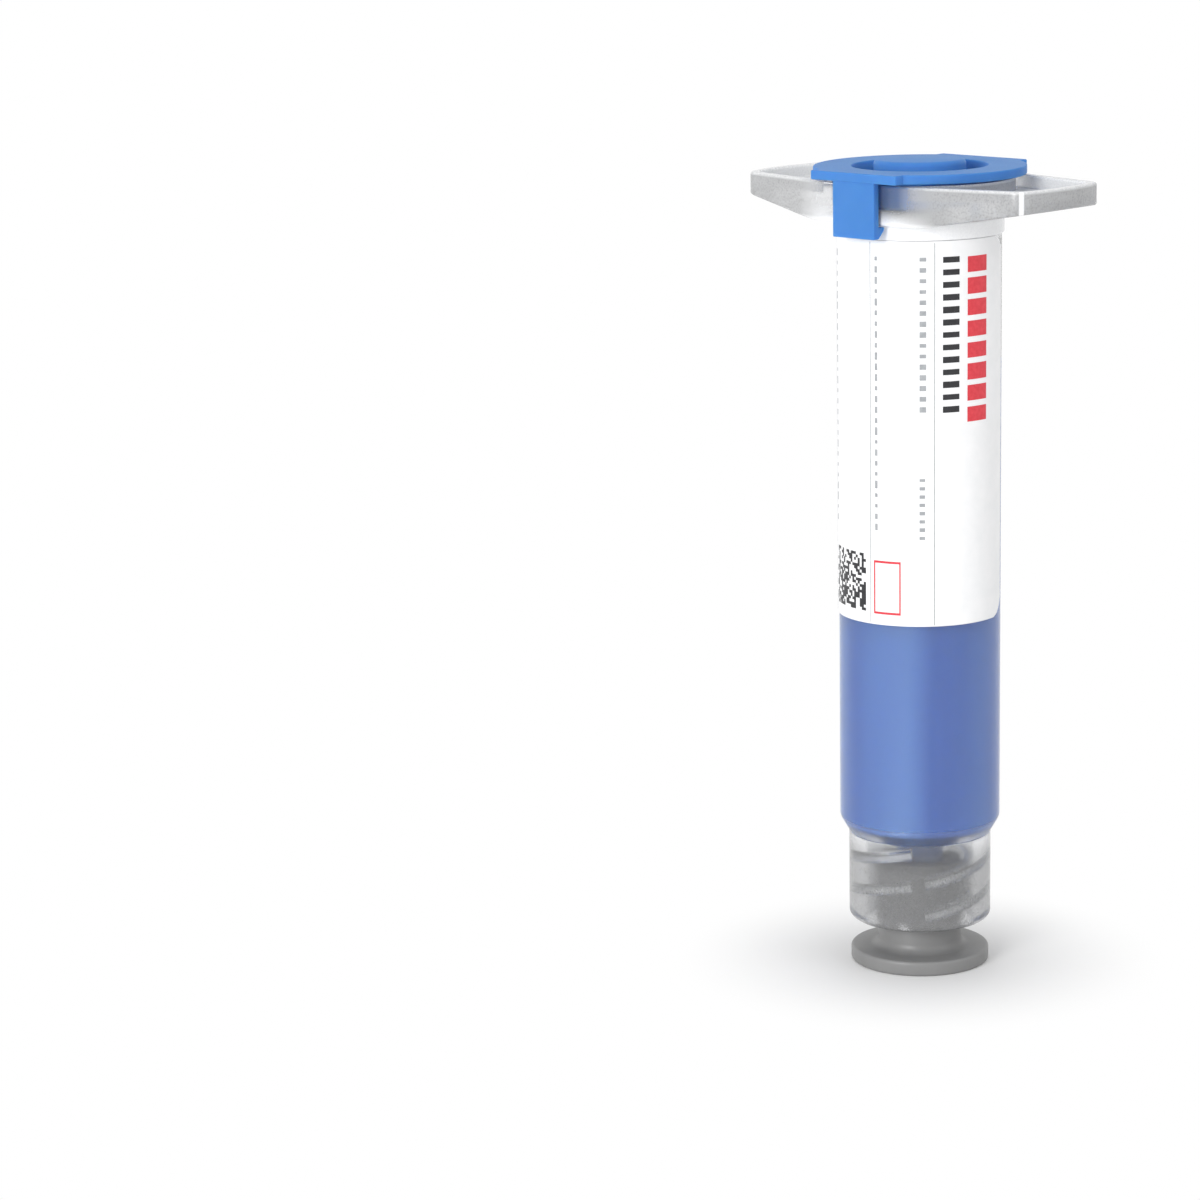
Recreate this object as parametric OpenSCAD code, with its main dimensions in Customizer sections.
// Three-millilitre epoxy syringe, stored closed: a barrel with a threaded
// outlet, the paste and its piston, a clip-on end cap and a screw-on tip cap.
// Z runs up the barrel's axis, X along the finger flange's ears.
// The origin is on the axis, at the underside of the tip cap.

/* [Barrel] */
// Outer diameter of the tube
barrel_d = 12.0; // [11.4:0.1:13]
// Wall thickness of the tube
barrel_wall = 0.76; // [0.6:0.02:0.9]
// Length of the straight tube, from the shoulder to the mouth
tube_l = 48.1; // [46:0.1:60]
// Height of the tapered shoulder under the tube
shoulder_h = 1.15; // [1:0.05:2.5]
// Thickness of the floor between the paste and the luer skirt
floor_t = 1.1; // [0.8:0.05:1.4]
// Lead-in chamfer at the mouth of the bore
mouth_chamfer = 0.25; // [0.1:0.05:0.35]
// Extra radius of the neck under the flange
neck_step = 0.18; // [0.16:0.01:0.2]
// Height of the neck under the flange
neck_h = 1.1; // [0.9:0.05:1.1]

/* [Finger flange] */
// Length across the rounded ends of the two ears
flange_l = 27.4; // [25:0.2:32]
// Width across the two flat sides
flange_w = 13.2; // [12.9:0.1:14]
// Length of each flat side
flange_flat_l = 7.4; // [6:0.1:9]
// Width of an ear where its side meets the rounded end
flange_end_w = 9.0; // [7:0.1:10]
// Radius of the four corners in plan
flange_corner_r = 1.5; // [1:0.1:2.4]
// Height of the flange at the barrel
flange_h = 2.9; // [2.5:0.1:3.5]
// Height of the flange at the tips of its ears
flange_tip_h = 1.5; // [1.3:0.1:2]
// Length of the level part of the underside
flange_level_l = 10.4; // [8:0.2:13]
// Thickness of the wall round the two pockets
tray_wall = 0.75; // [0.6:0.05:1]
// Depth of the two pockets in the top
tray_depth = 0.95; // [0.6:0.05:1]
// Width of the solid ring left round the tube between the two pockets
mouth_ring = 1.0; // [0.4:0.1:1.2]

/* [Luer lock] */
// Outer diameter of the skirt
skirt_d = 10.66; // [10:0.02:11.2]
// Height of the skirt
skirt_h = 6.8; // [6.4:0.05:8]
// Rounding cut off the skirt's lower edge
skirt_edge = 0.4; // [0.1:0.05:0.6]
// Diameter at the root of the internal thread
thread_root_d = 8.0; // [7.8:0.05:8.4]
// Diameter inside the crests of the internal thread
thread_crest_d = 7.0; // [6.95:0.05:7.3]
// Rise of the thread in one full turn
thread_lead = 5.0; // [4.6:0.1:5.2]
// Width of a thread's flat crest
thread_crest_w = 0.35; // [0.2:0.05:0.6]
// Width of a thread at its root
thread_root_w = 1.1; // [0.8:0.05:1.4]
// Sweep of each moulded stretch of thread, in degrees
thread_sweep = 166; // [150:2:174]
// Turn of the mould's parting line about the barrel, in degrees
parting_angle = -52; // [-90:1:90]
// Diameter of the nozzle at its free end
nozzle_tip_d = 3.95; // [3.9:0.01:4.1]
// Distance that the nozzle stands out below the skirt
nozzle_reach = 1.8; // [1.2:0.1:2]
// Diameter of the hole through the nozzle
orifice_d = 2.2; // [1.5:0.1:2.6]

/* [Contents] */
// Length of the paste in the bore
paste_l = 34.8; // [20:0.1:35]
// Length of the piston
piston_l = 6.6; // [5:0.1:6.8]
// Height of each wiper lip on the piston
piston_lip_h = 1.1; // [0.8:0.1:1.5]
// Depth of the groove between the lips
piston_groove = 0.35; // [0.2:0.05:0.6]
// Diameter of the hollow in the back of the piston
piston_hollow_d = 7.2; // [5:0.1:8]
// Depth of the hollow in the back of the piston
piston_hollow_l = 4.6; // [2:0.1:4.8]
// Chamfer on the piston's lips
piston_chamfer = 0.2; // [0.1:0.05:0.3]

/* [Label] */
// Height of the label
label_l = 28.3; // [20:0.1:32]
// Thickness of the label
label_t = 0.1; // [0.08:0.01:0.12]
// Bare tube between the label and the neck
label_drop = 0.05; // [0.05:0.05:3]
// Width of the bare strip that the label leaves, in degrees
label_gap_angle = 30; // [10:1:60]
// Turn of the label's end about the barrel, in degrees
label_end_angle = 25; // [-30:1:60]
// Radius of the label's corners
label_corner_r = 1.6; // [0.5:0.1:3]

/* [End cap] */
// Diameter of the cap's disc
cap_d = 15.6; // [15.2:0.1:15.7]
// Thickness of the disc and of its tabs
cap_t = 0.68; // [0.6:0.02:1.2]
// Width of each flat-faced tab
tab_w = 8.0; // [7:0.1:9]
// Depth of the plug below the disc
plug_l = 2.1; // [1.5:0.1:2.6]
// Chamfer at the foot of the plug
plug_chamfer = 0.3; // [0.1:0.05:0.4]
// Diameter of the recess at the disc's top
recess_d = 10.0; // [9.6:0.05:10.2]
// Diameter of the recess at its floor
recess_floor_d = 9.2; // [8.4:0.05:9.4]
// Diameter of the raised boss
boss_d = 6.76; // [5:0.02:7.4]
// Height of the boss above the disc
boss_rise = 0.45; // [0.1:0.05:1]
// Rounding of the boss's edge
boss_edge = 0.35; // [0.1:0.05:0.5]
// Thickness of the cap's web and of the boss's wall
web_t = 0.7; // [0.5:0.05:0.9]
// Width of each snap leg
leg_w = 3.9; // [2.5:0.1:4.5]
// Thickness of each snap leg
leg_t = 0.65; // [0.5:0.05:0.8]
// Height of each hook
hook_h = 0.85; // [0.6:0.05:1]
// Height of the blunt nose of each hook
hook_nose_h = 0.25; // [0.1:0.05:0.4]

/* [Tip cap] */
// Diameter of the grip disc
grip_d = 10.4; // [9:0.1:11]
// Thickness of the grip disc
grip_t = 1.12; // [0.8:0.02:1.2]
// Rounding of the grip disc's edges
grip_edge = 0.22; // [0.1:0.02:0.35]
// Diameter of the stem below the skirt
stem_d = 6.26; // [6:0.02:6.5]
// Fillet between the grip disc and the stem
stem_fillet = 0.7; // [0.3:0.05:1]
// Open height between the grip disc and the skirt
stem_l = 2.28; // [2:0.02:3]
// Diameter of the cap's body inside the skirt
plug_body_d = 6.5; // [6.3:0.02:6.7]
// Gap between the top of the cap's body and the skirt's ceiling
plug_body_gap = 2.0; // [1:0.05:2.5]
// Width of each of the two lugs on the cap's body
lug_w = 2.4; // [1.5:0.1:3]
// Height of each lug
lug_h = 0.8; // [0.5:0.05:1]

/* [Fits] */
// Radial clearance of the piston and of the end cap's plug in the bore
bore_clearance = 0.04; // [0.02:0.01:0.1]
// Radial clearance of the tip cap's socket on the nozzle
socket_clearance = 0.03; // [0.02:0.01:0.1]
// Radial clearance of the lugs inside the thread's crests
lug_clearance = 0.08; // [0.05:0.01:0.12]
// Gap between the end cap's disc and the flange's rim
cap_gap = 0.2; // [0.05:0.01:0.3]
// Gap between the flange's underside and the hooks
hook_gap = 0.08; // [0.05:0.01:0.15]
// Gap between each snap leg and the flange's flat side
leg_gap = 0.3; // [0.2:0.05:0.35]
// Gap between the hooks and the neck
neck_gap = 0.12; // [0.1:0.01:0.2]
// Gap between the nozzle's end and the floor of the tip cap's socket
socket_gap = 0.3; // [0.1:0.05:0.4]
// Film of glue under the label, and gap round the paste
film_t = 0.01; // [0.005:0.005:0.02]

/* [Hidden] */

$fn = 96;
// Extra length of every cut beyond the face that it opens
overrun = 0.5;
// Six per cent luer taper: radius gained for each length along the axis
luer_taper_share = 0.03;
half_turn = 180;
full_turn = 360;
quarter_turn = 90;
arc_steps = 6;
// Angle left off each end of a label corner's arc, so that it crosses the edges cleanly
label_corner_lead = 14;
end_arc_steps = 14;
thread_starts = 2;
thread_levels = 2;

barrel_r = barrel_d / 2;
bore_r = barrel_r - barrel_wall;
skirt_r = skirt_d / 2;
root_r = thread_root_d / 2;
crest_r = thread_crest_d / 2;

// Heights, from the underside of the tip cap upwards
skirt_z = grip_t + stem_l;
ceiling_z = skirt_z + skirt_h;
bore_z = ceiling_z + floor_t;
tube_z = ceiling_z + shoulder_h;
mouth_z = tube_z + tube_l;
flange_z = mouth_z - flange_h;
nozzle_z = skirt_z - nozzle_reach;
nozzle_l = ceiling_z - nozzle_z;
piston_z = bore_z + paste_l;
label_z = flange_z - neck_h - label_drop - label_l;
body_top_z = ceiling_z - plug_body_gap;
cap_z = mouth_z + cap_gap;
cap_top_z = cap_z + cap_t;
plug_z = cap_z - plug_l;
hook_top_z = flange_z - hook_gap;
leg_z = hook_top_z - hook_h;
leg_h = cap_z - leg_z;

// Each leg clears the flange's flat side, and its hook reaches in to the neck
neck_r = barrel_r + neck_step;
leg_face = max(flange_w / 2, neck_r) + leg_gap;
hook_reach = leg_face - neck_r - neck_gap;
// Distance from the axis to the outer face of each tab and leg
tab_reach = leg_face + leg_t;
fill_r = bore_r - film_t;
wiper_r = bore_r - bore_clearance;
label_r = barrel_r + film_t;
nozzle_tip_r = nozzle_tip_d / 2;
nozzle_root_r = nozzle_tip_r + nozzle_l * luer_taper_share;

// Points of an arc about a centre
function arc_points(centre, r, from, to, steps) =
    [for (i = [0:steps])
        let (a = from + (to - from) * i / steps)
        [centre[0] + r * cos(a), centre[1] + r * sin(a)]];

function mirrored_x(points) = [for (i = [len(points) - 1:-1:0]) [-points[i][0], points[i][1]]];
function mirrored_y(points) = [for (i = [len(points) - 1:-1:0]) [points[i][0], -points[i][1]]];

// The flange's plan: flat sides, tapered ears, round corners and round ends.
// This is one quarter of it, and inset draws it that much smaller.
function flange_quarter(inset) =
    let (
        side = [flange_flat_l / 2, flange_w / 2],
        tip_r = flange_l / 2,
        ear_y = flange_end_w / 2,
        ear = [sqrt(tip_r * tip_r - ear_y * ear_y), ear_y],
        along = (ear - side) / norm(ear - side),
        out = [-along[1], along[0]],
        up = [0, 1],
        corner = side - inset * (up + out) / (1 + up * out),
        round_r = flange_corner_r - inset,
        start = corner - out * round_r,
        reach = tip_r - inset - round_r,
        run = -(start * along) + sqrt(pow(start * along, 2) - start * start + reach * reach),
        centre = start + along * run,
        end_angle = atan2(centre[1], centre[0])
    )
    concat(
        arc_points([0, 0], tip_r - inset, 0, end_angle, end_arc_steps / 2),
        arc_points(centre, round_r, end_angle, atan2(out[1], out[0]), arc_steps),
        [corner]
    );

function flange_plan(inset) =
    let (
        quarter = flange_quarter(inset),
        upper = concat(quarter, mirrored_x(quarter))
    )
    concat(upper, mirrored_y(upper));

// Flange blank, with an underside that rises towards the tips
module flange() {
    rise = flange_h - flange_tip_h;
    span = flange_w + 2 * overrun;
    far = flange_l / 2 + overrun;
    far_rise = rise * (far - flange_level_l / 2) / (flange_l / 2 - flange_level_l / 2);
    difference() {
        translate([0, 0, flange_z])
            linear_extrude(height = flange_h)
                polygon(flange_plan(0));
        for (side = [0, half_turn])
            rotate([0, 0, side])
                translate([0, 0, flange_z])
                    rotate([quarter_turn, 0, 0])
                        linear_extrude(height = span, center = true)
                            polygon([
                                [flange_level_l / 2, 0],
                                [far, far_rise],
                                [far, -overrun],
                                [flange_level_l / 2, -overrun]
                            ]);
    }
}

// The two shallow pockets on either side of the mouth
module tray_pockets() {
    difference() {
        translate([0, 0, mouth_z - tray_depth])
            linear_extrude(height = tray_depth + overrun)
                polygon(flange_plan(tray_wall));
        translate([0, 0, mouth_z - tray_depth - overrun])
            cylinder(h = tray_depth + 3 * overrun, r = barrel_r + mouth_ring);
    }
}

// Skirt, shoulder, tube and neck as one turned outline
module barrel_outline() {
    rotate_extrude()
        polygon([
            [0, skirt_z],
            [skirt_r - skirt_edge, skirt_z],
            [skirt_r, skirt_z + skirt_edge],
            [skirt_r, ceiling_z],
            [barrel_r, tube_z],
            [barrel_r, flange_z - neck_h],
            [neck_r, flange_z - neck_h],
            [neck_r, mouth_z],
            [0, mouth_z]
        ]);
}

module bore() {
    translate([0, 0, bore_z])
        cylinder(h = mouth_z - bore_z + overrun, r = bore_r);
    rotate_extrude()
        polygon([
            [0, mouth_z - mouth_chamfer],
            [bore_r, mouth_z - mouth_chamfer],
            [bore_r + mouth_chamfer, mouth_z],
            [bore_r + mouth_chamfer, mouth_z + overrun],
            [0, mouth_z + overrun]
        ]);
}

// Two-start internal thread, each half turn one tilted arc that stops at the
// mould's parting lines
module luer_thread() {
    pitch = thread_lead / thread_starts;
    mean_r = (root_r + crest_r) / 2;
    tilt = atan2(pitch / 2, mean_r);
    embed = (skirt_r - root_r) / 3;
    idle = (half_turn - thread_sweep) / 2;
    middle_z = skirt_z + skirt_h / 2;
    difference() {
        for (level = [0:thread_levels - 1])
            for (start = [0:thread_starts - 1])
                rotate([0, 0, parting_angle + start * half_turn])
                    translate([0, 0, middle_z + (level - (thread_levels - 1) / 2) * pitch])
                        rotate([0, tilt, 0])
                            rotate([0, 0, idle])
                                rotate_extrude(angle = thread_sweep)
                                    polygon([
                                        [crest_r - embed, -thread_crest_w / 2],
                                        [crest_r, -thread_crest_w / 2],
                                        [root_r, -thread_root_w / 2],
                                        [root_r + embed, -thread_root_w / 2],
                                        [root_r + embed, thread_root_w / 2],
                                        [root_r, thread_root_w / 2],
                                        [crest_r, thread_crest_w / 2],
                                        [crest_r - embed, thread_crest_w / 2]
                                    ]);
        translate([0, 0, skirt_z - overrun])
            cylinder(h = skirt_h + 2 * overrun, r = crest_r);
    }
}

module barrel() {
    color("#dfe3ea")
    difference() {
        union() {
            difference() {
                union() {
                    barrel_outline();
                    flange();
                }
                bore();
                tray_pockets();
                translate([0, 0, skirt_z - overrun])
                    cylinder(h = skirt_h + overrun, r = root_r);
            }
            luer_thread();
            translate([0, 0, nozzle_z])
                cylinder(h = nozzle_l, r1 = nozzle_tip_r, r2 = nozzle_root_r);
        }
        translate([0, 0, nozzle_z - overrun])
            cylinder(h = bore_z - nozzle_z + 2 * overrun, r = orifice_d / 2);
    }
}

// Wrap-round label with rounded corners at both ends
module label() {
    sweep = full_turn - label_gap_angle;
    outer_r = label_r + label_t;
    color("#fdfdfd")
    difference() {
        translate([0, 0, label_z])
            rotate([0, 0, label_end_angle - sweep])
                rotate_extrude(angle = sweep)
                    translate([label_r, 0])
                        square([label_t, label_l]);
        for (end = [0, 1])
            for (edge = [0, 1])
                translate([0, 0, label_z + edge * label_l])
                    mirror([0, 0, edge])
                        rotate([0, 0, end * (label_end_angle - sweep) + (1 - end) * label_end_angle])
                            mirror([0, end, 0])
                                label_corner_cut(outer_r);
    }
}

// What a rounded corner removes, drawn for the lower corner at an end that
// faces along +Y
module label_corner_cut(outer_r) {
    translate([outer_r - 2 * label_t - overrun, 0, 0])
        rotate([quarter_turn, 0, quarter_turn])
            linear_extrude(height = 2 * (label_t + overrun))
                polygon(concat(
                    [[overrun, label_corner_r + overrun]],
                    arc_points([-label_corner_r, label_corner_r], label_corner_r,
                               -label_corner_lead, label_corner_lead - quarter_turn, arc_steps),
                    [[-label_corner_r - overrun, -overrun], [overrun, -overrun]]
                ));
}

module epoxy_fill() {
    color("#5f7fd0")
    translate([0, 0, bore_z])
        cylinder(h = paste_l, r = fill_r);
}

module nozzle_epoxy() {
    color("#5f7fd0")
    translate([0, 0, nozzle_z])
        cylinder(h = bore_z - nozzle_z, r = orifice_d / 2 - film_t);
}

// Two wiper lips round a hollow-backed body
module piston() {
    groove_r = wiper_r - piston_groove;
    hollow_r = piston_hollow_d / 2;
    upper_lip = piston_l - piston_lip_h;
    color("#f4f4f2")
    translate([0, 0, piston_z])
        rotate_extrude()
            polygon([
                [0, 0],
                [wiper_r - piston_chamfer, 0],
                [wiper_r, piston_chamfer],
                [wiper_r, piston_lip_h],
                [groove_r, piston_lip_h + piston_groove],
                [groove_r, upper_lip - piston_groove],
                [wiper_r, upper_lip],
                [wiper_r, piston_l - piston_chamfer],
                [wiper_r - piston_chamfer, piston_l],
                [hollow_r, piston_l],
                [hollow_r, piston_l - piston_hollow_l],
                [0, piston_l - piston_hollow_l]
            ]);
}

// Disc, plug, moat and boss as one turned outline
module cap_outline() {
    boss_r = boss_d / 2;
    boss_top = cap_top_z + boss_rise;
    plug_r = wiper_r;
    rotate_extrude()
        polygon(concat(
            [[0, boss_top]],
            [for (p = arc_points([boss_r - boss_edge, boss_top - boss_edge], boss_edge,
                                 quarter_turn, 0, arc_steps)) p],
            [
                [boss_r, plug_z + web_t],
                [recess_floor_d / 2, plug_z + web_t],
                [recess_d / 2, cap_top_z],
                [cap_d / 2, cap_top_z],
                [cap_d / 2, cap_z],
                [plug_r, cap_z],
                [plug_r, plug_z + plug_chamfer],
                [plug_r - plug_chamfer, plug_z],
                [boss_r - web_t, plug_z],
                [boss_r - web_t, boss_top - web_t],
                [0, boss_top - web_t]
            ]
        ));
}

module end_cap() {
    color("#6f9fe6")
    union() {
        intersection() {
            cap_outline();
            translate([-cap_d, -tab_reach, plug_z - overrun])
                cube([2 * cap_d, 2 * tab_reach, cap_top_z + boss_rise - plug_z + 2 * overrun]);
        }
        difference() {
            translate([-tab_w / 2, -tab_reach, cap_z])
                cube([tab_w, 2 * tab_reach, cap_t]);
            translate([0, 0, cap_z - overrun])
                cylinder(h = cap_t + 2 * overrun, r = (recess_d + cap_d) / 4);
        }
    }
}

// One leg, on the -Y side, with its hook turned in under the flange
module snap_leg() {
    translate([-leg_w / 2, -tab_reach, leg_z])
        cube([leg_w, leg_t, leg_h]);
    translate([-leg_w / 2, leg_t - tab_reach, leg_z])
        rotate([quarter_turn, 0, quarter_turn])
            linear_extrude(height = leg_w)
                polygon([
                    [0, 0],
                    [hook_reach, hook_h - hook_nose_h],
                    [hook_reach, hook_h],
                    [0, hook_h]
                ]);
}

module end_cap_legs() {
    color("#6f9fe6")
    for (side = [0, half_turn])
        rotate([0, 0, side])
            snap_leg();
}

// Grip disc, filleted stem and body as one turned outline
module tip_cap_outline() {
    grip_r = grip_d / 2;
    stem_r = stem_d / 2;
    rotate_extrude()
        polygon(concat(
            [[0, 0]],
            arc_points([grip_r - grip_edge, grip_edge], grip_edge, -quarter_turn, 0, arc_steps),
            arc_points([grip_r - grip_edge, grip_t - grip_edge], grip_edge, 0, quarter_turn, arc_steps),
            arc_points([stem_r + stem_fillet, grip_t + stem_fillet], stem_fillet,
                       -quarter_turn, -half_turn, arc_steps),
            [
                [stem_r, skirt_z],
                [plug_body_d / 2, skirt_z + (plug_body_d - stem_d) / 2],
                [plug_body_d / 2, body_top_z],
                [0, body_top_z]
            ]
        ));
}

module tip_cap() {
    floor_z = nozzle_z - socket_gap;
    socket_l = body_top_z - floor_z + overrun;
    socket_r = nozzle_tip_r + socket_clearance;
    lug_r = crest_r - lug_clearance;
    color("#858585")
    difference() {
        union() {
            tip_cap_outline();
            intersection() {
                translate([0, 0, body_top_z - lug_h])
                    cylinder(h = lug_h, r = lug_r);
                translate([-lug_r, -lug_w / 2, body_top_z - lug_h])
                    cube([2 * lug_r, lug_w, lug_h]);
            }
        }
        translate([0, 0, floor_z])
            cylinder(h = socket_l, r1 = socket_r, r2 = socket_r + socket_l * luer_taper_share);
    }
}

barrel();
label();
epoxy_fill();
nozzle_epoxy();
piston();
end_cap();
end_cap_legs();
tip_cap();
